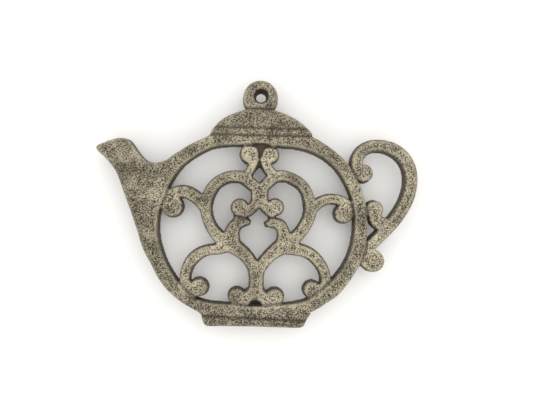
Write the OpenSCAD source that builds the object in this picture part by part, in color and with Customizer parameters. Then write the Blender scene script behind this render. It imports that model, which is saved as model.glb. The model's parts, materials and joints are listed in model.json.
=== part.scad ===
// Cast trivet in the outline of a teapot: a scrolled openwork plate on four rubber feet.
// The plate lies flat, lid towards +Y and handle towards +X, with the table at z = 0
// and the origin under the middle of the outline.
// The outline is drawn once, at the drawn_ sizes, and stretched to the sizes below.

/* [Belly] */
// Width of the belly from rim to rim
belly_w = 140; // [125:1:170]
// Height of the belly from the lid's seat to the base band
belly_h = 112; // [100:1:135]
// Width of the rim at its face
rim_w = 7; // [6:0.1:9]

/* [Plate] */
// Thickness of the cast plate
plate_t = 8; // [6:0.5:12]
// How far the scrolls and the handle lie below the face of the rim
scroll_drop = 0.6; // [0.2:0.1:1.2]
// How far a wall spreads from its face down to its back
wall_spread = 1.2; // [0.8:0.1:1.5]

/* [Lid] */
// Height of the lid above its seat
lid_h = 17; // [13:0.5:26]
// Width of each groove across the lid and the base band
groove_w = 1.6; // [1:0.1:2.2]
// Depth of the grooves
groove_depth = 0.6; // [0.3:0.1:1.2]

/* [Hanging loop] */
// Radius of the round loop at its face
loop_r = 10.6; // [9.5:0.1:14]
// Diameter of the hole at the face
hole_front_d = 10; // [8:0.5:12]
// Diameter of the hole through the back half
hole_d = 6; // [4.5:0.5:7]

/* [Base band] */
// Height of the band under the belly
band_h = 7.6; // [6.5:0.1:12]

/* [Spout] */
// How far the tip of the spout stands out from the belly
spout_reach = 35; // [28:1:55]

/* [Handle] */
// How far the handle stands out from the belly
handle_reach = 33; // [30:1:45]
// Width of the handle's strap at its face
handle_w = 6.4; // [5.5:0.1:7.5]

/* [Scrolls] */
// Width of the scroll straps at their face
scroll_w = 6.6; // [5.8:0.1:7.4]
// Depth of the pocket between the two top bosses
pocket_depth = 3.4; // [1.5:0.1:5]

/* [Feet] */
// Height of the plate's back above the table
foot_h = 10; // [9:0.5:14]
// Diameter of a rubber foot
foot_d = 9.5; // [9:0.5:12]
// Diameter of the cast peg inside a foot
peg_d = 5; // [4:0.5:6]
// Length of a peg below the plate
peg_len = 5.5; // [4:0.5:6]
// Clearance between the end of a peg and the bottom of its socket
peg_gap = 0.3; // [0.1:0.1:0.6]

/* [Hidden] */
$fn = 64;

// Sizes at which the outline is drawn
drawn_w = 140;
drawn_h = 112;
drawn_rim_w = 7;
drawn_lid_h = 17;
drawn_band_h = 7.6;
drawn_spout_reach = 35;
drawn_handle_reach = 33;
// Where the drawing changes from one stretch to the next
side_left = -66.8;
side_right = 68.7;
lid_seat = 42.7;
band_seat = -70;
// Middle of the pocket between the two top curls
pocket_x = 1.8;

steps = 4;             // straight pieces between two drawn points of a curve
edge_round = 0.4;      // part of a wall's spread that lies in the rounded outer edge
loop_sink = 4.2;       // how deep the loop's circle reaches into the lid
hole_off = [0.4, 0.9]; // centre of the hole from the centre of the loop
foot_chamfer = 0.8;

outer_spread = wall_spread - edge_round;
back_z = foot_h;
face_z = foot_h + plate_t;
scroll_z = face_z - scroll_drop;
bronze = [0.50, 0.46, 0.36];
scroll_bronze = [0.56, 0.52, 0.40];
dark_bronze = [0.32, 0.30, 0.26];
rubber = [0.08, 0.08, 0.08];

// ---- from the drawing to the real size ----

kx = belly_w / drawn_w;
ky = belly_h / drawn_h;

// x past a side of the belly stretches with the spout or the handle, inside it with the belly
function real_x(x) =
    x < side_left ? side_left * kx + (x - side_left) * spout_reach / drawn_spout_reach
    : x > side_right ? side_right * kx + (x - side_right) * handle_reach / drawn_handle_reach
    : x * kx;

// y above the lid's seat stretches with the lid, below the band's seat with the band
function real_y(y) =
    y > lid_seat ? lid_seat * ky + (y - lid_seat) * lid_h / drawn_lid_h
    : y < band_seat ? band_seat * ky + (y - band_seat) * band_h / drawn_band_h
    : y * ky;

function real(p) = [real_x(p[0]), real_y(p[1])];
function all_real(points) = [for (p = points) real(p)];

// Drawn x of a point that keeps its distance from the pocket's middle at every width of belly
function near_pocket(x) = pocket_x + (x - pocket_x) / kx;
function all_near_pocket(points) = [for (p = points) [near_pocket(p[0]), p[1], p[2]]];

// ---- curves ----

// Catmull-Rom span from b to c, with a before and d after
function span(a, b, c, d, t) =
    0.5 * (2 * b + (c - a) * t + (2 * a - 5 * b + 4 * c - d) * t * t
        + (3 * b - a - 3 * c + d) * t * t * t);

function closed_curve(p) = let (n = len(p)) [
    for (i = [0 : n - 1]) for (k = [0 : steps - 1])
        span(p[(i + n - 1) % n], p[i], p[(i + 1) % n], p[(i + 2) % n], k / steps)
];

function open_curve(p) = let (n = len(p)) concat(
    [
        for (i = [0 : n - 2]) for (k = [0 : steps - 1])
            span(p[max(i - 1, 0)], p[i], p[i + 1], p[min(i + 2, n - 1)], k / steps)
    ],
    [p[n - 1]]
);

function xy(p) = [p[0], p[1]];

// Unit vector to the left of the way from a to b
function left_of(a, b) = let (v = xy(b) - xy(a)) [-v[1], v[0]] / norm(v);

// An open line with each point moved to its left by its own distance
function beside(p, away) = let (n = len(p)) [
    for (i = [0 : n - 1])
        xy(p[i]) + left_of(p[max(i - 1, 0)], p[min(i + 1, n - 1)]) * away[i]
];

// An anticlockwise closed line moved outwards by d
function grown(p, d) = let (n = len(p)) [
    for (i = [0 : n - 1]) p[i] - left_of(p[(i + n - 1) % n], p[(i + 1) % n]) * d
];

// An anticlockwise stretch of outer edge, moved outwards by the spread of its wall
function edge(points) = let (line = open_curve(all_real(points)))
    beside(line, [for (p = line) -outer_spread]);

function backwards(p) = [for (i = [len(p) - 1 : -1 : 0]) p[i]];

// ---- whole shapes, which the pieces cut from each other ----

// The plate over a flat shape, from its back up to the height top
module plate(top = face_z) {
    translate([0, 0, back_z]) linear_extrude(top - back_z) children();
}

// A strap along an open curve of points [x, y, share of the full width]
module strap(points, width = scroll_w) {
    line = open_curve([for (p = points) [real_x(p[0]), real_y(p[1]), p[2] * width / 2]]);
    plate(scroll_z) polygon(concat(
        beside(line, [for (p = line) p[2] + wall_spread]),
        backwards(beside(line, [for (p = line) -p[2] - wall_spread]))
    ));
}

// The round boss in which a strap ends, of a radius that keeps pace with the strap
module boss(x, y, r, width = scroll_w, drawn_width = 6.6) {
    plate(scroll_z) translate(real([x, y])) circle(r * width / drawn_width + wall_spread);
}

rim_outer = grown(closed_curve(all_real([
    [56.3, 27], [49.8, 32.9], [41.8, 38.5], [34, 42.2], [22, 42.7], [12, 42.7], [2, 42.7], [-10, 42.7],
    [-20, 42.7], [-30, 41.7], [-41, 36.5], [-48, 32.1], [-54, 25.8], [-59, 18.3], [-62.6, 10],
    [-65, 1], [-66.4, -8], [-67.4, -17], [-68, -25], [-68, -32], [-64.7, -40], [-59.7, -49],
    [-53.3, -56.7], [-45, -63.2], [-33.5, -69], [-22, -70], [-10, -70], [2, -70], [14, -70],
    [26, -69.6], [36.5, -67.3], [45, -62], [53.2, -56], [59.3, -48.3], [64.5, -40], [68, -31],
    [69.8, -22], [70.2, -12], [69.6, -3], [68, 4.5], [65.6, 11.8], [61.6, 19.6]
])), outer_spread);

rim_inner = grown(closed_curve(all_real([
    [56.4, 15.3], [52.4, 21.4], [46.8, 27], [40, 31.6], [32, 34.8], [23, 36.6], [13, 37.2], [5, 38.5],
    [-3, 38.5], [-11, 37.4], [-20, 36.9], [-29.5, 35], [-38.5, 30.2], [-45.5, 25], [-50.5, 19.4],
    [-54.7, 12.5], [-58.6, 4], [-61.3, -4.5], [-62.5, -14], [-61.8, -23], [-59.8, -30.5],
    [-56.4, -39], [-51.5, -47], [-45.5, -54.8], [-38, -61], [-28, -64], [-16, -64.7],
    [1.3, -66.1], [18, -64.3], [28, -62.8], [38, -58.8], [46, -52.3], [52.3, -45], [57.4, -37.5],
    [60.9, -29.3], [62.8, -21], [63.4, -13], [62.7, -4], [61.3, 3.8], [59.5, 9.1]
])), drawn_rim_w - rim_w - wall_spread);

lid_edge = edge([
    [38, 40.9], [34.5, 42.6], [33.5, 45.3], [30.4, 48.8], [25.1, 52.9], [20, 55.6], [14.5, 57.7],
    [8, 59.2], [1.3, 59.6], [-6, 59.2], [-11.5, 57.9], [-18.8, 54.9], [-24.5, 50.8], [-27.8, 46.6],
    [-29.8, 42.5],
    [-33, 40.5]
]);

band_edge = edge([
    [-35, -68.6], [-32.6, -70.7], [-31.7, -73.3], [-31.3, -75.8], [-30, -77.5], [-27, -78],
    [-15, -77.7], [0, -77.6], [15, -77.7], [28, -77.8], [31.5, -76.7], [32.8, -74.5], [33.6, -72],
    [36, -68.3]
]);

spout_edge = edge([
    [-47, 32.4], [-50, 30.8], [-52.4, 29.2], [-54.9, 27.2], [-57.6, 25.4], [-61.2, 24.4],
    [-65, 24.1], [-69, 24.7], [-72.3, 26.6], [-75.4, 29.9], [-78, 33.4], [-80.2, 36.6],
    [-82.2, 38.4], [-84.5, 39.2], [-88, 39], [-92.5, 37.9], [-97.2, 36], [-100.4, 34.6],
    [-101.6, 33.3], [-101, 31.5], [-99.2, 29.8], [-96.3, 27.4], [-92.5, 23.2], [-89, 18.7],
    [-86.7, 13.8], [-84.6, 8.2], [-82, 1.5], [-79.3, -5.5], [-76, -14.5], [-72.5, -24],
    [-69.3, -32], [-64.7, -40]
]);

handle_line = [
    [64, 20, 1], [63.4, 26, 1], [64.5, 31.2, 1], [67.6, 35.5, 1], [72, 38.1, 1], [77, 38.8, 1],
    [83, 37.9, 1], [88.5, 35.4, 1], [93.4, 31.3, 1], [96.7, 25.8, 1], [98.2, 19, 1], [97.9, 12, 1],
    [96, 4.8, 1], [92.7, -2, 1], [88.4, -8.4, 1], [83.8, -14, 1], [78.3, -20, 1], [72.5, -26, 1],
    [67, -31, 1]
];

module belly_shape() {
    plate() polygon(rim_outer);
}

module opening_shape() {
    plate() polygon(rim_inner);
}

module lid_shape() {
    plate() polygon(concat(lid_edge, all_real([[-20, 38], [25, 38]])));
}

module band_shape() {
    plate() polygon(concat(band_edge, all_real([[30, -65], [-28, -65]])));
}

module spout_shape() {
    plate() polygon(concat(spout_edge, all_real([[-55, -35], [-50, -10], [-45, 15]])));
}

loop_centre = [real_x(1.3), lid_seat * ky + lid_h + loop_r + outer_spread - loop_sink];

module loop_shape() {
    plate() translate(loop_centre) circle(loop_r + outer_spread);
}

module handle_shape() {
    strap(handle_line, handle_w);
    boss(68.2, 20.8, 5.2, handle_w, 6.4);
}

module handle_curl_shape() {
    strap([[75, -2, 0.7], [75.1, -6.9, 0.95], [79.2, -10.6, 1.2], [85, -13, 1.3]], handle_w);
    boss(75.4, -1.9, 5, handle_w, 6.4);
}

module handle_tail_shape() {
    strap([[68.5, -29.5, 1.6], [72, -32.3, 1.95], [75.4, -34.8, 1.9]], handle_w);
    boss(75.5, -34.9, 6.3, handle_w, 6.4);
}

module knot_shape() {
    strap([[2.2, 10, 1.54], [2.3, 6, 1.43], [2.3, 2, 1.43], [2.2, -1, 1.3], [2.3, -3.4, 0.5]]);
}

module stem_shape() {
    strap([[1.3, -39, 1.55], [1.3, -43, 1.35], [1.45, -48, 1.15], [1.5, -53, 1.2], [1.4, -57, 1.4]]);
}

module arch_left_shape() {
    strap([
        [1, 9, 0.85], [-3.5, 12.8, 0.95], [-8.5, 16.3, 0.95], [-14.5, 17.1, 0.92], [-20.5, 15.6, 0.92],
        [-26.2, 11.8, 0.95], [-29.8, 6, 1], [-31.8, -0.5, 1], [-31.4, -7, 0.9], [-29.5, -12.8, 0.9],
        [-26.2, -18.3, 0.95], [-20.8, -23.6, 1.1], [-14, -27.3, 1.3], [-7.2, -32, 1.1],
        [-2.6, -37.2, 1], [0.6, -43, 1]
    ]);
}

module arch_right_shape() {
    strap([
        [3, 9, 0.85], [7.3, 13.5, 0.9], [12, 17.4, 0.93], [18, 18, 0.88], [24, 15.9, 0.88],
        [28.8, 12.7, 0.87], [32.1, 8.4, 0.88], [33.9, 2.6, 0.93], [34.9, -3.5, 1.03], [33.8, -9, 0.98],
        [31.2, -14.3, 0.98], [27.8, -19, 0.98], [23.2, -23.4, 1.1], [17, -27.3, 1.35],
        [10.6, -32.2, 1.05], [5.8, -37.6, 0.98], [2.4, -43, 1]
    ]);
}

module top_curl_left_shape() {
    strap(all_near_pocket([
        [-6.8, 17, 0.75], [-4.4, 20.6, 0.66], [-2.9, 24, 0.7], [-2.4, 27.5, 0.95], [-4, 31, 1.2]
    ]));
    boss(near_pocket(-4.8), 31.5, 5.45);
}

module top_curl_right_shape() {
    strap(all_near_pocket([
        [11, 18.3, 0.8], [8.2, 21.2, 0.78], [6, 24.7, 0.76], [5.2, 28, 0.78], [6.4, 31.6, 0.7]
    ]));
    boss(near_pocket(8.6), 31.3, 4.8);
}

module side_curl_left_shape() {
    strap([
        [-32, -4, 0.9], [-35.6, 0.6, 0.95], [-40, 4.3, 1], [-45, 6.5, 1], [-50, 6.2, 1],
        [-54.8, 3.6, 1], [-56.6, -1, 0.9]
    ]);
    boss(-53.2, -3, 6.3);
}

module side_curl_right_shape() {
    strap([
        [34.5, -4, 0.95], [37.6, -0.9, 0.86], [41, 1.7, 0.8], [45, 3.6, 0.77], [49.5, 4.1, 0.76],
        [54, 3.1, 0.8], [57.5, 0.6, 0.85], [58.8, -3.5, 0.9]
    ]);
    boss(56, -5.2, 5.4);
}

module inner_curl_left_shape() {
    strap([[1, 1.5, 0.8], [-2.2, -2.6, 0.8], [-6, -5.2, 0.88], [-10, -4.5, 0.9]]);
    boss(-10.3, -2.8, 4.9);
}

module inner_curl_right_shape() {
    strap([[3, 1.5, 0.8], [6.3, -2.3, 0.8], [9.5, -4.9, 0.85], [13, -5.2, 0.55]]);
    boss(12.5, -2, 4.8);
}

module shoulder_left_shape() {
    strap([
        [-2.9, -12.5, 0.12], [-4.6, -12, 0.4], [-6.8, -11.8, 0.68], [-9.3, -12.2, 0.85],
        [-12.2, -13.8, 0.98], [-14.5, -17.5, 1.15], [-15, -22, 1.3], [-14.5, -26, 1.3]
    ]);
    strap([[-10.2, -5, 0.9], [-10.2, -8, 0.9], [-10.2, -11, 0.95]]);
}

module shoulder_right_shape() {
    strap([
        [5.6, -13.6, 0.12], [7.6, -12.9, 0.4], [9.9, -12.4, 0.62], [12.8, -12.4, 0.8],
        [15.9, -13.6, 0.92], [17.8, -17, 0.95], [18.6, -22, 1.2], [18, -26, 1.2]
    ]);
    strap([[10.5, -6, 0.5], [10.5, -8.5, 0.45], [10.6, -11, 0.5]]);
}

module lower_curl_left_shape() {
    strap([
        [-18, -27.5, 1], [-23.5, -29.5, 0.85], [-29, -30.3, 0.8], [-33.8, -31.9, 0.86],
        [-38.3, -35.1, 0.92], [-41.8, -39.7, 0.88], [-43.7, -45, 0.84], [-44, -50.2, 0.85],
        [-41, -54.8, 0.9], [-36, -55.6, 0.9]
    ]);
    boss(-34.9, -54.1, 5.3);
}

module lower_curl_right_shape() {
    strap([
        [19, -27.5, 1.1], [24.5, -28.4, 1], [30, -29.2, 0.94], [35.3, -31.3, 0.92],
        [39.8, -34.9, 0.88], [43.3, -39.6, 0.85], [45.4, -44.8, 0.82], [45.5, -50, 0.86],
        [42.5, -54.4, 0.9], [38, -55.5, 0.9]
    ]);
    boss(37, -54, 5.1);
}

module bottom_curl_left_shape() {
    strap([[1, -55, 1], [-3.6, -59, 0.95], [-7.6, -63, 1.3], [-9.4, -68, 1.4]]);
    boss(-10.8, -59.3, 5);
}

module bottom_curl_right_shape() {
    strap([[1.6, -55, 1], [5.8, -59, 0.87], [10, -63, 1.3], [12.2, -68, 1.4]]);
    boss(13.4, -59.4, 5.3);
}

// ---- solids ----

// The plan's own centre, which the part is set over
plan_x = [min([for (p = spout_edge) p[0]]), real_x(98.2) + handle_w / 2 + wall_spread];
plan_y = [min([for (p = band_edge) p[1]]), loop_centre[1] + loop_r + outer_spread];
plan_centre = [(plan_x[0] + plan_x[1]) / 2, (plan_y[0] + plan_y[1]) / 2];

module in_place() {
    translate([-plan_centre[0], -plan_centre[1], 0]) children();
}

// The first shape less the others
module cast_piece() {
    in_place() difference() {
        children(0);
        for (i = [1 : 1 : $children - 1]) children(i);
    }
}

// The same for a piece that stands inside the rim
module scroll() {
    in_place() intersection() {
        opening_shape();
        difference() {
            children(0);
            for (i = [1 : 1 : $children - 1]) children(i);
        }
    }
}

// A groove across the plate at height y of the drawing
module groove(y) {
    in_place() translate([-belly_w / 2, real_y(y) - groove_w / 2, face_z - groove_depth])
        cube([belly_w, groove_w, 2 * groove_depth]);
}

module rim() {
    color(bronze) cast_piece() {
        belly_shape();
        opening_shape();
    }
}

module lid() {
    color(bronze) difference() {
        cast_piece() {
            lid_shape();
            belly_shape();
        }
        groove(lid_seat + 1);
        groove(47.7);
    }
}

module hanging_loop() {
    middle = plate_t / 2;
    color(bronze) difference() {
        cast_piece() {
            loop_shape();
            lid_shape();
        }
        in_place() translate([loop_centre[0] + hole_off[0], loop_centre[1] + hole_off[1], back_z]) {
            translate([0, 0, -1]) cylinder(d = hole_d, h = plate_t + 2);
            translate([0, 0, middle])
                cylinder(d1 = hole_d, d2 = hole_front_d, h = plate_t - middle);
        }
    }
}

module base_band() {
    color(bronze) difference() {
        cast_piece() {
            band_shape();
            belly_shape();
        }
        groove(-71.7);
    }
}

module spout() {
    color(bronze) cast_piece() {
        spout_shape();
        belly_shape();
    }
}

module handle() {
    color(bronze) cast_piece() {
        handle_shape();
        belly_shape();
    }
}

module handle_curl() {
    color(bronze) cast_piece() {
        handle_curl_shape();
        belly_shape();
        handle_shape();
    }
}

module handle_tail() {
    color(bronze) cast_piece() {
        handle_tail_shape();
        belly_shape();
        handle_shape();
    }
}

module centre_knot() {
    color(scroll_bronze) scroll() knot_shape();
}

module stem() {
    color(scroll_bronze) scroll() stem_shape();
}

module arch_left() {
    color(scroll_bronze) scroll() {
        arch_left_shape();
        knot_shape();
        stem_shape();
    }
}

module arch_right() {
    color(scroll_bronze) scroll() {
        arch_right_shape();
        knot_shape();
        stem_shape();
        arch_left_shape();
    }
}

module top_curl_left() {
    color(scroll_bronze) scroll() {
        top_curl_left_shape();
        arch_left_shape();
    }
}

module top_curl_right() {
    color(scroll_bronze) scroll() {
        top_curl_right_shape();
        arch_right_shape();
        top_curl_left_shape();
    }
}

// Thin iron low between the two curls, above and below the spot where they touch
module top_pocket_web() {
    color(dark_bronze) scroll() {
        plate(face_z - pocket_depth) polygon(all_real(all_near_pocket([
            [2, 23.2], [8, 17.5], [8, 41.5], [-2, 41.5], [-2, 19.4]
        ])));
        top_curl_left_shape();
        top_curl_right_shape();
    }
}

module side_curl_left() {
    color(scroll_bronze) scroll() {
        side_curl_left_shape();
        arch_left_shape();
    }
}

module side_curl_right() {
    color(scroll_bronze) scroll() {
        side_curl_right_shape();
        arch_right_shape();
    }
}

module inner_curl_left() {
    color(scroll_bronze) scroll() {
        inner_curl_left_shape();
        knot_shape();
    }
}

module inner_curl_right() {
    color(scroll_bronze) scroll() {
        inner_curl_right_shape();
        knot_shape();
    }
}

module shoulder_left() {
    color(scroll_bronze) scroll() {
        shoulder_left_shape();
        inner_curl_left_shape();
        arch_left_shape();
    }
}

module shoulder_right() {
    color(scroll_bronze) scroll() {
        shoulder_right_shape();
        inner_curl_right_shape();
        arch_right_shape();
    }
}

module lower_curl_left() {
    color(scroll_bronze) scroll() {
        lower_curl_left_shape();
        arch_left_shape();
        shoulder_left_shape();
    }
}

module lower_curl_right() {
    color(scroll_bronze) scroll() {
        lower_curl_right_shape();
        arch_right_shape();
        shoulder_right_shape();
    }
}

module bottom_curl_left() {
    color(scroll_bronze) scroll() {
        bottom_curl_left_shape();
        stem_shape();
    }
}

module bottom_curl_right() {
    color(scroll_bronze) scroll() {
        bottom_curl_right_shape();
        stem_shape();
        bottom_curl_left_shape();
    }
}

// Where the feet stand: under the lid, the base band, the root of the spout and the handle's side
foot_top = real([1.5, 45]);
foot_bottom = real([1.4, -69.2]);
foot_spout = real([-67, -4]);
foot_handle = real([66.6, -5]);

module at_foot(place) {
    in_place() translate([place[0], place[1], 0]) children();
}

module foot_pegs() {
    color(bronze) for (place = [foot_top, foot_bottom, foot_spout, foot_handle])
        at_foot(place) translate([0, 0, back_z - peg_len]) cylinder(d = peg_d, h = peg_len);
}

// A rubber cap pressed onto a peg
module rubber_foot(place) {
    color(rubber) at_foot(place) difference() {
        rotate_extrude() polygon([
            [0, 0], [foot_d / 2 - foot_chamfer, 0], [foot_d / 2, foot_chamfer],
            [foot_d / 2, foot_h], [0, foot_h]
        ]);
        translate([0, 0, foot_h - peg_len - peg_gap])
            cylinder(d = peg_d, h = peg_len + peg_gap + 1);
    }
}

module rubber_foot_top() {
    rubber_foot(foot_top);
}

module rubber_foot_bottom() {
    rubber_foot(foot_bottom);
}

module rubber_foot_spout() {
    rubber_foot(foot_spout);
}

module rubber_foot_handle() {
    rubber_foot(foot_handle);
}

rim();
lid();
hanging_loop();
base_band();
spout();
handle();
handle_curl();
handle_tail();
centre_knot();
stem();
top_pocket_web();
arch_left();
arch_right();
top_curl_left();
top_curl_right();
side_curl_left();
side_curl_right();
inner_curl_left();
inner_curl_right();
shoulder_left();
shoulder_right();
lower_curl_left();
lower_curl_right();
bottom_curl_left();
bottom_curl_right();
foot_pegs();
rubber_foot_top();
rubber_foot_bottom();
rubber_foot_spout();
rubber_foot_handle();
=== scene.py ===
"""A flat openwork cast iron trivet in the outline of a teapot, dressed over its CAD frame.

The casting is one surface, worked out from the outlines of the CAD nodes at the back of the plate.
The rubber feet stay as the CAD made them.
"""

import json
import math
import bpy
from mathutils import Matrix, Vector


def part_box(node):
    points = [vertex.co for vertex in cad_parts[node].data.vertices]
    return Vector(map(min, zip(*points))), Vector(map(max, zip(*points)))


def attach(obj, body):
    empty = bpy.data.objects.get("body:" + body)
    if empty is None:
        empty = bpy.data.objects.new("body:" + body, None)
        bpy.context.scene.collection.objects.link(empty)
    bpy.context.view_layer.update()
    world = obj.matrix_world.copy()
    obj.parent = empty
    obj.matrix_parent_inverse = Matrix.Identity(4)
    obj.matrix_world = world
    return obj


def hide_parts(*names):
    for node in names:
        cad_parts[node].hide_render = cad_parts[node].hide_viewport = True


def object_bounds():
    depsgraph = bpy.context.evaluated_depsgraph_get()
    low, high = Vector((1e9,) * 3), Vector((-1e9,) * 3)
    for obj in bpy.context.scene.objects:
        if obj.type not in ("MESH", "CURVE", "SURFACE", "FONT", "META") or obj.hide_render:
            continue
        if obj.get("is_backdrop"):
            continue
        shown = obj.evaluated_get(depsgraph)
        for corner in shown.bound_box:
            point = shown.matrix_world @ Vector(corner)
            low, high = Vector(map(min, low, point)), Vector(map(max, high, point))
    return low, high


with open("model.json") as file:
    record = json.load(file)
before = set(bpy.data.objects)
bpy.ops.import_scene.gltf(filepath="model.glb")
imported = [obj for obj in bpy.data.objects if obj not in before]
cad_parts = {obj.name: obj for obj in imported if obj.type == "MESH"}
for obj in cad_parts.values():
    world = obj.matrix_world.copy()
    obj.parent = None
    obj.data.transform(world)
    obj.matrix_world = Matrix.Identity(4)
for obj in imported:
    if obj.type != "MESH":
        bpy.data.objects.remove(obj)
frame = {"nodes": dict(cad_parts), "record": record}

from types import SimpleNamespace

import bpy
import numpy as np
from bpy.props import FloatProperty, FloatVectorProperty, PointerProperty

bl_info = {
    "name": "Teapot Trivet",
    "version": (1, 0, 0),
    "blender": (4, 5, 0),
    "location": "View3D > Sidebar > Trivet",
    "description": "Dresses a cast iron trivet over its CAD frame and lights it",
    "category": "Object",
}

FRAME_NODES = ("rim", "lid", "hanging_loop", "base_band", "spout")
WEB_NODE = "top_pocket_web"
FEET = ("rubber_foot_top", "rubber_foot_bottom", "rubber_foot_spout", "rubber_foot_handle")
CASTING_NODES = tuple(n for n in frame["nodes"] if n not in FEET and n != "foot_pegs")
HANDLE_NODES = ("handle", "handle_curl", "handle_tail")
SCROLL_NODES = tuple(n for n in CASTING_NODES if n not in FRAME_NODES + HANDLE_NODES)

# Lengths are in millimetres from here to the creases
REACH = 5.0  # how far distances from a wall are followed
UPRIGHT = 0.05  # the most that a wall's unit normal may point up or down
LEVEL = 0.01  # how far from the lowest height a vertex still counts as low
INNER_BLEND = 1.5  # width of the blend between the rim's inner and outer draft
# Heights of the surface grid's layers above the back of the plate, closest near the face
LAYERS = (-0.3, 0.3, 2.4, 4.6, 5.8, 6.4, 6.9, 7.3, 7.65, 8.0, 8.3)
# Around the small opening over the base band the walls are steeper: x, y and radius, and by how much
STEEP_PLACE = (1.2, -62.5, 6.0)
STEEP_FRAME = 0.8
STEEP_SCROLL = 0.5
# Towards the handle's far side its walls are steeper too: x where that starts, the width, and how much
FAR_SIDE = (78, 12)
FAR_STEEP = 0.5
CREASE_PLACE = -0.2  # how far inside the frame's wall the middle of the crease lies, so just outside it
CREASE_WIDTH = 0.9
CREASE_INSET = 1.0  # the crease stays this far inside the walls of the scrolls
CUT_WIDTH = 0.65
FLARE_POWER = 1.5  # how the hole widens over the upper half of its height
WEB_ROUND = 0.8  # radius of the web's edges
WEB_REACH = 1.5  # how far the web runs on into the curls beside it
ON_FRAME = 0.3  # how far inside the frame's outline a point counts as the frame's
FRAME_CREST = 0.5  # from the top of a wall to the line where its edge is lightest, partly by wear and partly by a painted highlight
SCROLL_CREST = 1.1
MOUTH_CREST = 0.7
WEAR_HIGHLIGHT_WIDTH = 0.85
MOUTH_WIDTH = 0.6
WEAR_HIGHLIGHT_DEPTH = 2.0  # below this depth under the face the edges get neither wear nor painted highlight
# Depths under the face where the painted shade starts, and over which it deepens, on the walls and in the
# web
WALL_SHADE_DEPTHS = (1.1, 1.3)
WEB_SHADE_DEPTHS = (1.6, 1.5)
# How strong the painted shade is in the creases beside the frame and in the web, where a groove's is 1
CREASE_SHADE = 0.75
WEB_SHADE = 0.5
# How light these nodes are coloured, and how strong their speckle; the rest of the frame has 1 and 1
NODE_TONES = (
    (("spout",), 0.9, 0.72),
    (("lid",), 0.91, 0.78),
    (("base_band",), 0.76, 1.6),
    (("hanging_loop",), 1.1, 0.9),
    (HANDLE_NODES, 1.2, 1.0),
    (SCROLL_NODES, 1.12, 1.0),
)
# Grooves across the lid and the base band: y where x is 0, and slope
GROOVES = ((43.3, 0.0), (47.95, 0.0), (-72.3, -0.03))
JOINT_Y = 60.1  # the groove between the lid and the hanging loop
# Short creases where two scrolls, or a scroll and the frame, meet: x and y of both ends
CUTS = (
    (-14.0, -7.5, -3.7, -9.9),
    (6.8, -9.0, 16.0, -8.0),
    (1.5, 29.0, 1.9, 23.0),
    (4.9, 36.4, 13.9, 35.4),
    (-6.4, 37.0, -1.4, 36.8),
    (58.2, 27.0, 61.0, 20.8),
    (61.0, 20.8, 64.6, 15.2),
    (69.2, -1.0, 70.0, -8.0),
    (61.0, 1.6, 62.2, -6.0),
    (62.2, -6.0, 62.0, -11.0),
    (-42.7, -59.2, -36.4, -61.5),
)

# Display colours from 0 to 255, and the linear tint of the bronze's sheen
IRON = (44, 38, 31)
# The next colour is painted shade on the walls and in the web
IRON_WALL_SHADE = (62, 56, 48)
# The next colour is painted shade in grooves, creases, the hole's mouth and the web
IRON_HOLLOW_SHADE = (44, 39, 32)
GOLD_DULL = (120, 113, 98)
GOLD_BRIGHT = (163, 156, 133)
# The next colour is partly wear and partly a painted highlight along the face edges
WORN_AND_HIGHLIGHT_GOLD = (158, 151, 130)
SHEEN = (0.78, 0.65, 0.52, 1.0)
RUBBER_DARK = (22, 22, 22)
RUBBER_LIGHT = (44, 43, 42)

FLOOR_COLOUR = (0.785, 0.775, 0.753, 1.0)  # linear
FLOOR_HALF = 3.0  # metres from the middle of the floor to its edges
LAMP_SIZE = 1.0  # metres


# ---- settings ----


class CastingSettings(bpy.types.PropertyGroup):
    """Sizes of the casting's relief. Lengths are in millimetres."""

    cell: FloatProperty(name="Cell", description="Width of a cell of the surface's grid", default=0.62)
    draft: FloatProperty(
        name="Draft", description="Spread of an inner wall over its height", default=1.0
    )
    outer_draft: FloatProperty(
        name="Outer draft", description="Spread of the frame's outer wall", default=0.22
    )
    frame_round: FloatProperty(
        name="Frame edge", description="Radius of the frame's face edges", default=1.2
    )
    scroll_round: FloatProperty(
        name="Scroll edge", description="Radius of the scrolls' face edges", default=2.0
    )
    scroll_drop: FloatProperty(
        name="Scroll drop", description="Depth of the scrolls below the rim", default=0.55
    )
    web_drop: FloatProperty(
        name="Web drop", description="Depth of the web between the top curls", default=3.4
    )
    crease: FloatProperty(
        name="Crease", description="Depth of the crease where scrolls meet the frame", default=0.2
    )
    cut: FloatProperty(
        name="Cut", description="Depth of the short creases between two scrolls", default=1.2
    )
    groove: FloatProperty(
        name="Groove", description="Depth of the grooves in lid and base", default=0.7
    )
    groove_width: FloatProperty(name="Groove width", description="Width of a groove", default=1.5)
    hole_flare: FloatProperty(
        name="Hole flare", description="Growth of the hole's radius at the face", default=2.0
    )


class StageSettings(bpy.types.PropertyGroup):
    """The camera over the trivet and the light on it."""

    camera_place: FloatVectorProperty(
        name="Camera",
        description="Place of the camera",
        default=(-0.0031, -0.00585, 0.296),
        unit="LENGTH",
    )
    camera_roll: FloatProperty(
        name="Roll",
        description="Turn of the camera about its axis",
        default=math.radians(1.4),
        subtype="ANGLE",
    )
    lens: FloatProperty(
        name="Lens", description="Focal length", default=29.8, subtype="DISTANCE_CAMERA"
    )
    shift_x: FloatProperty(name="Shift X", description="Sideways shift of the lens", default=0.0292)
    shift_y: FloatProperty(name="Shift Y", description="Upward shift of the lens", default=0.0244)
    sky: FloatProperty(name="Sky", description="Strength of the light from all round", default=1.4)
    key: FloatProperty(name="Key", description="Power of the large lamp", default=1.6, unit="POWER")
    key_place: FloatVectorProperty(
        name="Key place", description="Place of the large lamp", default=(0.2, 0.25, 1.1), unit="LENGTH"
    )


# ---- outlines of the CAD nodes ----


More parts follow.
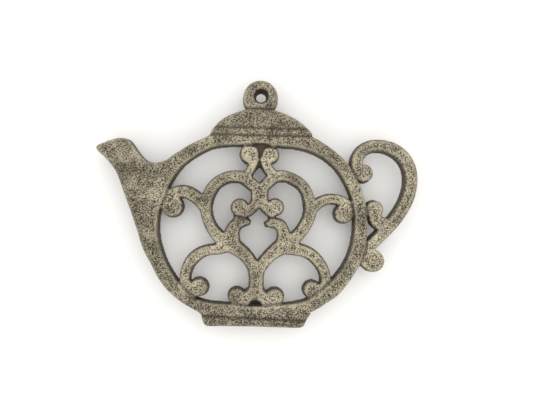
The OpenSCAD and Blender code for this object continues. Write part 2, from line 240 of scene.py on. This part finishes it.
def walls_of(names):
    """The upright walls of these nodes as lines at the back of the plate, (n, 2, 2) in mm.

    A line is the lower edge of a wall's triangle, so that the iron is on the line's left.
    """
    lines = []
    for name in names:
        node = frame["nodes"][name]
        mesh = node.data
        mesh.calc_loop_triangles()
        co = np.empty(len(mesh.vertices) * 3, np.float32)
        mesh.vertices.foreach_get("co", co)
        tri = np.empty(len(mesh.loop_triangles) * 3, np.int32)
        mesh.loop_triangles.foreach_get("vertices", tri)
        turn = np.array(node.matrix_world)
        co = (co.reshape(-1, 3) @ turn[:3, :3].T + turn[:3, 3]) * 1000
        p = co[tri].reshape(-1, 3, 3)
        normal = np.cross(p[:, 1] - p[:, 0], p[:, 2] - p[:, 0])
        upright = np.abs(normal[:, 2]) < UPRIGHT * np.linalg.norm(normal, axis=1)
        low = np.abs(p[:, :, 2] - co[:, 2].min()) < LEVEL
        for k in range(3):
            m = (k + 1) % 3
            pick = upright & low[:, k] & low[:, m]
            lines.append(p[pick][:, [k, m], :2])
    return np.concatenate(lines)


def covered(lines, xs, ys):
    """True on the points of the grid xs by ys that lie in the iron, by the winding number of the lines.

    Each line adds to the grid's rows that it crosses a step at its crossing, and the steps are summed
    along each row.
    """
    a, b = lines[:, 0], lines[:, 1]
    dx, dy = xs[1] - xs[0], ys[1] - ys[0]
    first = np.ceil((np.minimum(a[:, 1], b[:, 1]) - ys[0]) / dy).astype(int)
    last = np.ceil((np.maximum(a[:, 1], b[:, 1]) - ys[0]) / dy).astype(int)
    count = last - first
    line = np.repeat(np.arange(len(lines)), count)
    row = np.arange(count.sum()) - np.repeat(np.cumsum(count) - count, count) + first[line]
    t = (ys[row] - a[line, 1]) / (b[line, 1] - a[line, 1])
    x = a[line, 0] + t * (b[line, 0] - a[line, 0])
    column = np.ceil((x - xs[0]) / dx).astype(int)
    steps = np.zeros((len(xs) + 1, len(ys)))
    np.add.at(steps, (column, row), np.sign(a[line, 1] - b[line, 1]))
    return np.cumsum(steps, axis=0)[:-1] > 0.5


def free_pieces(lines, piece=0.4, look=0.12, fine=0.1):
    """The lines cut into short pieces, less those that have iron on both sides, where two nodes meet.

    piece is the greatest length of a piece, look is how far outside a wall iron is looked for, and
    fine is the cell of the grid that it is looked up on, all in mm.
    """
    run = lines[:, 1] - lines[:, 0]
    count = np.maximum(np.ceil(np.linalg.norm(run, axis=1) / piece).astype(int), 1)
    line = np.repeat(np.arange(len(lines)), count)
    k = np.arange(count.sum()) - np.repeat(np.cumsum(count) - count, count)
    start = lines[line, 0] + run[line] * (k / count[line])[:, None]
    end = lines[line, 0] + run[line] * ((k + 1) / count[line])[:, None]
    way = (end - start) / np.maximum(np.linalg.norm(end - start, axis=1), 1e-9)[:, None]
    outside = (start + end) / 2 + look * np.stack([way[:, 1], -way[:, 0]], 1)
    low, high = lines.min((0, 1)) - 1, lines.max((0, 1)) + 1
    xs = np.arange(low[0], high[0], fine)
    ys = np.arange(low[1], high[1], fine)
    iron = covered(lines, xs, ys)
    spot = np.round((outside - [xs[0], ys[0]]) / fine).astype(int)
    free = ~iron[spot[:, 0], spot[:, 1]]
    return np.stack([start, end], 1)[free]


def nearest(pieces, xs, ys):
    """Distance in mm of each grid point from the nearest piece of outline, REACH at the most.

    Each short piece offers its distance to the points of the window around it, and each point keeps
    the least.
    """
    cell = xs[1] - xs[0]
    n = int(REACH / cell)
    middle = np.round((pieces.mean(1) - [xs[0], ys[0]]) / cell).astype(int)
    step = np.arange(-n, n + 1)
    ix = middle[:, 0, None, None] + step[None, :, None] + 0 * step[None, None, :]
    iy = middle[:, 1, None, None] + 0 * step[None, :, None] + step[None, None, :]
    a = pieces[:, 0][:, None, None, :]
    run = (pieces[:, 1] - pieces[:, 0])[:, None, None, :]
    p = np.stack([xs[ix], ys[iy]], -1) - a
    t = np.clip((p * run).sum(-1) / np.maximum((run * run).sum(-1), 1e-12), 0, 1)
    least = np.full((len(xs), len(ys)), REACH)
    np.minimum.at(least, (ix, iy), np.linalg.norm(p - t[..., None] * run, axis=-1))
    return least


def signed_distance(names, xs, ys):
    """Distance in mm of each grid point from the free outline of the nodes, positive in the iron."""
    lines = walls_of(names)
    away = nearest(free_pieces(lines), xs, ys)
    return np.where(covered(lines, xs, ys), away, -away)


def softened(field, cells):
    """The field after a running mean over that many cells to each side, along both axes, twice."""
    for _ in range(2):
        for axis in (0, 1):
            field = np.mean([np.roll(field, k, axis) for k in range(-cells, cells + 1)], axis=0)
    return field


# ---- the casting ----


def rounded(inset, below, radius):
    """How deep a point lies in a plate with a rounded face edge.

    inset is its distance from the wall and below its distance under the face. Within the radius
    of both, the depth is measured from a quarter circle, and elsewhere from the nearer of the two.
    """
    a, b = radius - inset, radius - below
    return radius - np.hypot(np.maximum(a, 0), np.maximum(b, 0)) - np.minimum(np.maximum(a, b), 0)


def bell(x, width):
    """1 where x is 0, 1 / e where it is the width, and near 0 beyond: a Gaussian."""
    return np.exp(-((x / width) ** 2))


def from_line(x, y, ends):
    """Distance of the points x, y from the straight line between two ends, given as x, y, x, y."""
    ax, ay, bx, by = ends
    t = ((x - ax) * (bx - ax) + (y - ay) * (by - ay)) / ((bx - ax) ** 2 + (by - ay) ** 2)
    t = np.clip(t, 0, 1)
    return np.hypot(x - ax - t * (bx - ax), y - ay - t * (by - ay))


def surface_net(depth, axes):
    """The surface where depth is 0 on the grid of the three axes, as (vertices, quads facing outwards).

    Every cell that the surface passes through has one vertex, the mean of the places where the
    surface crosses the cell's edges, and every crossed edge has one quad between its four cells.
    """
    inside = depth > 0
    shape = tuple(n - 1 for n in depth.shape)
    size = int(np.prod(shape))
    count = np.zeros(size)
    total = np.zeros((3, size))
    quads = []
    for a in range(3):
        b, c = (a + 1) % 3, (a + 2) % 3
        near = np.moveaxis(inside, a, 0)[:-1]
        far = np.moveaxis(inside, a, 0)[1:]
        edge = np.nonzero(near != far)
        order = [a] + [k for k in range(3) if k != a]
        place = np.empty((3, len(edge[0])), int)
        for slot, axis in enumerate(order):
            place[axis] = edge[slot]
        beyond = place.copy()
        beyond[a] += 1
        d0, d1 = depth[tuple(place)], depth[tuple(beyond)]
        point = [axes[k][place[k]] for k in range(3)]
        point[a] = point[a] + (axes[a][beyond[a]] - point[a]) * d0 / (d0 - d1)
        corners = []
        for db, dc in ((1, 1), (0, 1), (0, 0), (1, 0)):
            cell = place.copy()
            cell[b] -= db
            cell[c] -= dc
            index = np.ravel_multi_index(tuple(cell), shape)
            corners.append(index)
            count += np.bincount(index, minlength=size)
            for k in range(3):
                total[k] += np.bincount(index, weights=point[k], minlength=size)
        corners = np.stack(corners, 1)
        outward = inside[tuple(place)]
        quads.append(np.where(outward[:, None], corners, corners[:, ::-1]))
    used = count > 0
    name = np.cumsum(used) - 1
    return (total[:, used] / count[used]).T, name[np.concatenate(quads)]


def sample(field, xs, ys, x, y):
    """The values of a grid field at points, by the nearest four grid points."""
    u, v = (x - xs[0]) / (xs[1] - xs[0]), (y - ys[0]) / (ys[1] - ys[0])
    i, j = u.astype(int), v.astype(int)
    u, v = u - i, v - j
    return (
        field[i, j] * (1 - u) * (1 - v) + field[i + 1, j] * u * (1 - v)
        + field[i, j + 1] * (1 - u) * v + field[i + 1, j + 1] * u * v
    )


def inner_share(xs, ys):
    """1 where the rim's inner wall is nearer than its outer one, 0 where it isn't, and a blend between.

    A piece of the rim's wall is an inner one if it faces the rim's centre.
    """
    pieces = free_pieces(walls_of(("rim",)))
    middle = pieces.mean(1)
    run = pieces[:, 1] - pieces[:, 0]
    facing = np.stack([run[:, 1], -run[:, 0]], 1)
    inner = (facing * (middle - middle.mean(0))).sum(1) < 0
    lead = nearest(pieces[~inner], xs, ys) - nearest(pieces[inner], xs, ys)
    return np.clip(lead / INNER_BLEND + 0.5, 0, 1)


def node_tones_of(xs, ys):
    """How light each node is coloured and how strong its speckle, as two fields."""
    tone, speckle = np.ones((2, len(xs), len(ys)))
    for names, light, strength in NODE_TONES:
        here = covered(walls_of(names), xs, ys)
        tone = np.where(here, light, tone)
        speckle = np.where(here, strength, speckle)
    return softened(tone, 2), softened(speckle, 2)


def casting_plan(s):
    """The grid over the casting's plan, with the levels and fields that its surface comes from, in mm."""
    low, high = (1000 * np.array(c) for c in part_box("rim"))
    back, face = low[2], high[2]
    low, high = (1000 * np.array(c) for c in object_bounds())
    margin = REACH + 2 * s.cell
    xs = np.arange(low[0] - margin, high[0] + margin, s.cell)
    ys = np.arange(low[1] - margin, high[1] + margin, s.cell)
    x, y = xs[:, None], ys[None, :]
    d_frame = signed_distance(FRAME_NODES, xs, ys)
    d_solid = signed_distance([n for n in CASTING_NODES if n != WEB_NODE], xs, ys)

    steep_x, steep_y, steep_radius = STEEP_PLACE
    steep = bell(np.hypot(x - steep_x, y - steep_y), steep_radius)
    far_from, far_width = FAR_SIDE
    far_side = np.clip((x - far_from) / far_width, 0, 1)
    frame_draft = s.outer_draft + (s.draft - s.outer_draft) * inner_share(xs, ys)
    frame_draft = frame_draft * (1 - STEEP_FRAME * steep)
    scroll_draft = s.draft * (1 - STEEP_SCROLL * steep) * (1 - FAR_STEEP * far_side)

    groove = np.max([bell(y - level - slope * x, s.groove_width / 2) for level, slope in GROOVES], axis=0)
    joint = bell(y - JOINT_Y, s.groove_width / 2) * np.ones_like(x)
    crease = bell(d_frame - CREASE_PLACE, CREASE_WIDTH) * (d_solid > CREASE_INSET)
    cuts = np.max([bell(from_line(x, y, cut), CUT_WIDTH) for cut in CUTS], axis=0)
    mount = frame["record"]["mounts"][0]
    hole = 1000 * np.array(mount["pos_m"])
    hole_r = mount["dims"]["r_mm"]
    return SimpleNamespace(
        xs=xs,
        ys=ys,
        back=back,
        face=face,
        d_frame=d_frame,
        d_solid=d_solid,
        d_whole=signed_distance(CASTING_NODES, xs, ys),
        d_web=signed_distance((WEB_NODE,), xs, ys),
        frame_draft=frame_draft,
        scroll_draft=scroll_draft,
        groove=groove,
        joint=joint,
        crease=crease,
        cuts=cuts,
        frame_top=face - s.groove * np.maximum(groove, joint),
        scroll_top=face - s.scroll_drop - s.crease * crease - s.cut * cuts,
        from_hole=np.hypot(x - hole[0], y - hole[1]),
        hole_r=hole_r,
        mouth_r=hole_r + s.hole_flare,
    )


def depth_at(s, plan, z):
    """How deep the plan's grid points lie in the iron at height z, negative outside it.

    It is the greatest of three plates' depths: the frame, from its own outline, the whole casting
    a little lower and rounder, and the thin web between the top curls. The walls lean in with
    height by their draft. The hole takes away what is within its radius, which grows by the flare
    over the upper half of the height, as a power of it, and the flat back what is below it.
    """
    rise = (z - plan.back) / (plan.face - plan.back)
    scrolls = rounded(plan.d_solid - plan.scroll_draft * rise, plan.scroll_top - z, s.scroll_round)
    rim = rounded(plan.d_frame - plan.frame_draft * rise, plan.frame_top - z, s.frame_round)
    web = rounded(plan.d_whole - s.draft * rise, plan.face - s.web_drop - z, WEB_ROUND)
    depth = np.maximum(np.maximum(scrolls, rim), np.minimum(web, plan.d_web + WEB_REACH))
    flare = s.hole_flare * np.clip(rise * 2 - 1, 0, 1) ** FLARE_POWER
    depth = np.minimum(depth, plan.from_hole - plan.hole_r - flare)
    return np.minimum(depth, z - plan.back)


def finish_and_shade_at(s, plan, points):
    """What the bronze material reads at the surface's points, as one array per attribute.

    Along face edges one attribute is 1, for wear and a painted highlight; another is 1 for painted shade
    in grooves, creases and the hole's mouth; depth is 1 for painted shade on walls and in the web; and
    tone and speckle come from the nodes.
    """
    px, py, pz = points.T

    def here(field):
        return sample(field, plan.xs, plan.ys, px, py)

    def below(start, width):
        return np.clip((plan.face - start - pz) / width, 0, 1)

    crests = (plan.frame_draft + FRAME_CREST, s.draft + SCROLL_CREST)
    crest = here(np.where(plan.d_frame > ON_FRAME, *crests))
    of_frame = here(plan.d_frame)
    on_frame = of_frame > ON_FRAME
    from_edge = np.where(on_frame, of_frame, here(plan.d_solid))
    from_mouth = here(plan.from_hole) - plan.mouth_r
    # Lighter along face edges and around the hole's mouth: partly wear, partly a painted highlight
    worn = np.maximum(bell(from_edge - crest, WEAR_HIGHLIGHT_WIDTH), bell(from_mouth - MOUTH_CREST, MOUTH_WIDTH))
    # Painted shade in the grooves, the lid's joint, the creases, the cuts, the hole's mouth and the web
    hollow_shades = [
        here(plan.groove) * on_frame,
        here(plan.joint) * on_frame,
        CREASE_SHADE * here(plan.crease),
        here(plan.cuts),
        np.clip(-2 * from_mouth, 0, 1),
        WEB_SHADE * below(*WEB_SHADE_DEPTHS) * (here(plan.d_web) > -WEB_REACH),
    ]
    tone, speckle = node_tones_of(plan.xs, plan.ys)
    return {
        "worn": worn * (pz > plan.face - WEAR_HIGHLIGHT_DEPTH),
        "hollow": np.maximum.reduce(hollow_shades),
        # Painted shade on the walls and in the web, below a depth under the face
        "depth": below(*WALL_SHADE_DEPTHS),
        "tone": here(tone),
        "speckle": here(speckle),
    }


def casting_surface(s):
    """The casting as (vertices in mm, quads, attributes).

    depth_at gives each grid point's depth in the iron, layer by layer, and the surface lies where
    the depth is 0.
    """
    plan = casting_plan(s)
    zs = np.array(LAYERS) + plan.back
    depth = np.stack([depth_at(s, plan, z) for z in zs], 2)
    points, quads = surface_net(depth, (plan.xs, plan.ys, zs))
    return points, quads, finish_and_shade_at(s, plan, points)


def mesh_object(name, points, quads, attributes, material):
    """A smooth closed mesh object from points in mm, with one float attribute per name."""
    mesh = bpy.data.meshes.new(name)
    mesh.from_pydata(points / 1000, [], quads)
    for key, values in attributes.items():
        mesh.attributes.new(key, "FLOAT", "POINT").data.foreach_set("value", values.astype(np.float32))
    mesh.polygons.foreach_set("use_smooth", np.ones(len(quads), bool))
    mesh.materials.append(material)
    mesh.update()
    piece = bpy.data.objects.new(name, mesh)
    bpy.context.collection.objects.link(piece)
    return piece


# ---- materials ----


class Socket:
    """A value in a shader's node tree. Arithmetic on it adds the Math nodes."""

    def __init__(self, tree, output):
        self.tree = tree
        self.output = output

    def node(self, kind, inputs=(), out=0, **settings):
        """A new node of that kind, with its inputs linked or set, as a Socket on one of its outputs."""
        made = self.tree.nodes.new(kind)
        for key, value in settings.items():
            setattr(made, key, value)
        for key, value in dict(inputs).items():
            if isinstance(value, Socket):
                self.tree.links.new(value.output, made.inputs[key])
            else:
                made.inputs[key].default_value = value
        return Socket(self.tree, made.outputs[out])

    def maths(self, operation, *others):
        """A Math node on this value and the others."""
        return self.node("ShaderNodeMath", dict(enumerate((self,) + others)), operation=operation)

    def __add__(self, other):
        return self.maths("ADD", other)

    def __sub__(self, other):
        return self.maths("SUBTRACT", other)

    def __rsub__(self, other):
        return self.maths("MULTIPLY_ADD", -1.0, other)

    def __mul__(self, other):
        return self.maths("MULTIPLY", other)

    def ramp(self, low, high):
        """0 below low, 1 above high, and a smooth rise between."""
        inputs = {"Value": self, "From Min": low, "From Max": high}
        return self.node("ShaderNodeMapRange", inputs, interpolation_type="SMOOTHSTEP")

    def tint(self, dark, light):
        """The colour between dark and light at this value. Either is a Socket or an RGB triple."""
        ends = {6: dark, 7: light}
        inputs = {k: v if isinstance(v, Socket) else (*v, 1.0) for k, v in ends.items()}
        return self.node("ShaderNodeMix", {0: self, **inputs}, out=2, data_type="RGBA")


def linear(r, g, b):
    """A linear colour from display values of 0 to 255."""
    v = np.array([r, g, b]) / 255
    return tuple(np.where(v <= 0.04045, v / 12.92, ((v + 0.055) / 1.055) ** 2.4).tolist())


def new_material(name):
    """A node material, as (material, its Principled node, a Socket of the object's coordinates)."""
    material = bpy.data.materials.new(name)
    material.use_nodes = True
    tree = material.node_tree
    coordinates = tree.nodes.new("ShaderNodeTexCoord")
    return material, tree.nodes["Principled BSDF"], Socket(tree, coordinates.outputs["Object"])


def noise(place, scale, detail=2.0, roughness=0.5):
    """Noise around 0.5, with that many cells to the metre."""
    inputs = {"Vector": place, "Scale": scale, "Detail": detail, "Roughness": roughness}
    return place.node("ShaderNodeTexNoise", inputs, noise_dimensions="3D")


def bronze_material():
    """Antique bronze over black iron, from noise and from the attributes of finish_and_shade_at.

    A fine speckle of gold on dark iron lies in larger clouds, and broad areas are rubbed lighter.
    The gold is a little brighter on the edges, partly as wear and partly as a painted highlight. Walls,
    the web and hollows are dark with painted shade.
    """
    material, shader, place = new_material("antique_bronze")
    links = material.node_tree.links

    def attribute(name):
        return place.node("ShaderNodeAttribute", out=2, attribute_name=name)

    names = ("worn", "hollow", "depth", "tone", "speckle")
    worn, hollow, depth, tone, speckle = (attribute(n) for n in names)
    cloud = noise(place, 60.0, detail=3.0, roughness=0.6).ramp(0.33, 0.67)
    patch = noise(place, 300.0).ramp(0.3, 0.7)
    rubbed = noise(place, 38.0, detail=1.0).ramp(0.35, 0.65)
    turned = place.node("ShaderNodeMapping", {"Vector": place, "Rotation": (0.5, 0.7, 0.4)})
    grain = noise(turned, 1250.0, detail=0.0) * 0.8 + noise(turned, 2200.0, detail=0.0) * 0.2
    grain = (grain - 0.5) * speckle + 0.5
    # The edge band, part wear and part painted highlight, also adds gold to the speckle
    gilded = (grain + cloud * 0.07 + patch * 0.03 + worn * 0.06).ramp(0.405, 0.675)

    gold = (patch * 0.5 + cloud * 0.5).tint(linear(*GOLD_DULL), linear(*GOLD_BRIGHT))
    metal = gilded.tint(linear(*IRON), gold)
    # Wear and painted highlight along the edges
    metal = (worn * 0.2).tint(metal, linear(*WORN_AND_HIGHLIGHT_GOLD))
    # Painted shade on the walls and in the web
    metal = (depth * 0.95).tint(metal, linear(*IRON_WALL_SHADE))
    # Painted shade in grooves, creases and the hole's mouth
    metal = (hollow * 0.95).tint(metal, linear(*IRON_HOLLOW_SHADE))
    light = tone * (rubbed * 0.32 + 0.8)
    metal = metal.node("ShaderNodeVectorMath", {0: metal, 3: light}, operation="SCALE")
    links.new(metal.output, shader.inputs["Base Color"])
    rough = 0.66 - gilded * 0.16
    links.new(rough.output, shader.inputs["Roughness"])
    shader.inputs["Metallic"].default_value = 0.2
    shader.inputs["Specular Tint"].default_value = SHEEN
    bump = place.node("ShaderNodeBump", {"Strength": 0.5, "Distance": 0.0002, "Height": gilded})
    links.new(bump.output, shader.inputs["Normal"])
    return material


def rubber_material():
    """Matt black rubber with a fine grain."""
    material, shader, place = new_material("black_rubber")
    grain = noise(place, 900.0)
    colour = grain.tint(linear(*RUBBER_DARK), linear(*RUBBER_LIGHT))
    material.node_tree.links.new(colour.output, shader.inputs["Base Color"])
    shader.inputs["Roughness"].default_value = 0.75
    return material


# ---- operators ----


class OBJECT_OT_trivet_casting(bpy.types.Operator):
    """Build the casting, with its face relief, over the CAD nodes of the iron"""

    bl_idname = "object.trivet_casting"
    bl_label = "Casting"
    bl_options = {"REGISTER", "UNDO"}

    def execute(self, context):
        points, quads, attributes = casting_surface(context.scene.trivet_casting)
        bronze = bronze_material()
        piece = mesh_object("casting", points, quads, attributes, bronze)
        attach(piece, "root")
        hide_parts(*CASTING_NODES)
        return {"FINISHED"}


class OBJECT_OT_trivet_feet(bpy.types.Operator):
    """Give the rubber feet and the pegs in them their materials"""

    bl_idname = "object.trivet_feet"
    bl_label = "Feet"
    bl_options = {"REGISTER", "UNDO"}

    def execute(self, context):
        rubber = rubber_material()
        for name in FEET:
            frame["nodes"][name].material_slots[0].material = rubber
        frame["nodes"]["foot_pegs"].material_slots[0].material = bpy.data.materials["antique_bronze"]
        return {"FINISHED"}


class OBJECT_OT_trivet_stage(bpy.types.Operator):
    """Add the pale floor, the soft light and the camera"""

    bl_idname = "object.trivet_stage"
    bl_label = "Stage"
    bl_options = {"REGISTER", "UNDO"}

    def execute(self, context):
        s = context.scene.trivet_stage
        link = context.collection.objects.link

        floor_mesh = bpy.data.meshes.new("floor")
        corners = [(i * FLOOR_HALF, j * FLOOR_HALF, 0) for i, j in ((-1, -1), (1, -1), (1, 1), (-1, 1))]
        floor_mesh.from_pydata(corners, [], [(0, 1, 2, 3)])
        floor = bpy.data.objects.new("floor", floor_mesh)
        paper, shader, _ = new_material("pale_floor")
        shader.inputs["Base Color"].default_value = FLOOR_COLOUR
        shader.inputs["Roughness"].default_value = 0.9
        shader.inputs["Specular IOR Level"].default_value = 0.1
        floor_mesh.materials.append(paper)
        link(floor)

        lamp_data = bpy.data.lights.new("key", "AREA")
        lamp_data.shape = "DISK"
        lamp_data.size = LAMP_SIZE
        lamp_data.energy = s.key
        lamp = bpy.data.objects.new("key", lamp_data)
        lamp.location = s.key_place
        lamp.rotation_euler = (-lamp.location).to_track_quat("-Z", "Y").to_euler()
        link(lamp)

        world = bpy.data.worlds.new("soft_light")
        world.use_nodes = True
        world.node_tree.nodes["Background"].inputs["Color"].default_value = (1, 1, 1, 1)
        world.node_tree.nodes["Background"].inputs["Strength"].default_value = s.sky
        context.scene.world = world

        camera_data = bpy.data.cameras.new("camera")
        camera_data.lens = s.lens
        camera_data.shift_x = s.shift_x
        camera_data.shift_y = s.shift_y
        camera_data.clip_start = 0.01
        camera = bpy.data.objects.new("camera", camera_data)
        camera.location = s.camera_place
        camera.rotation_euler = (0, 0, s.camera_roll)
        link(camera)
        context.scene.camera = camera
        context.scene.view_settings.view_transform = "Standard"
        floor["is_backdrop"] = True
        return {"FINISHED"}


class VIEW3D_PT_trivet(bpy.types.Panel):
    """The trivet's settings and the buttons that build it"""

    bl_label = "Trivet"
    bl_space_type = "VIEW_3D"
    bl_region_type = "UI"
    bl_category = "Trivet"

    def draw(self, context):
        for settings in (context.scene.trivet_casting, context.scene.trivet_stage):
            box = self.layout.box()
            for name in settings.__annotations__:
                box.prop(settings, name)
        for name in ("casting", "feet", "stage"):
            self.layout.operator("object.trivet_" + name)


CLASSES = (
    CastingSettings,
    StageSettings,
    OBJECT_OT_trivet_casting,
    OBJECT_OT_trivet_feet,
    OBJECT_OT_trivet_stage,
    VIEW3D_PT_trivet,
)


def register():
    for cls in CLASSES:
        bpy.utils.register_class(cls)
    bpy.types.Scene.trivet_casting = PointerProperty(type=CastingSettings)
    bpy.types.Scene.trivet_stage = PointerProperty(type=StageSettings)


def unregister():
    del bpy.types.Scene.trivet_stage
    del bpy.types.Scene.trivet_casting
    for cls in reversed(CLASSES):
        bpy.utils.unregister_class(cls)


def main():
    register()
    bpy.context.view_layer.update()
    bpy.ops.object.trivet_casting()
    bpy.ops.object.trivet_feet()
    bpy.ops.object.trivet_stage()


if __name__ == "__main__":
    main()
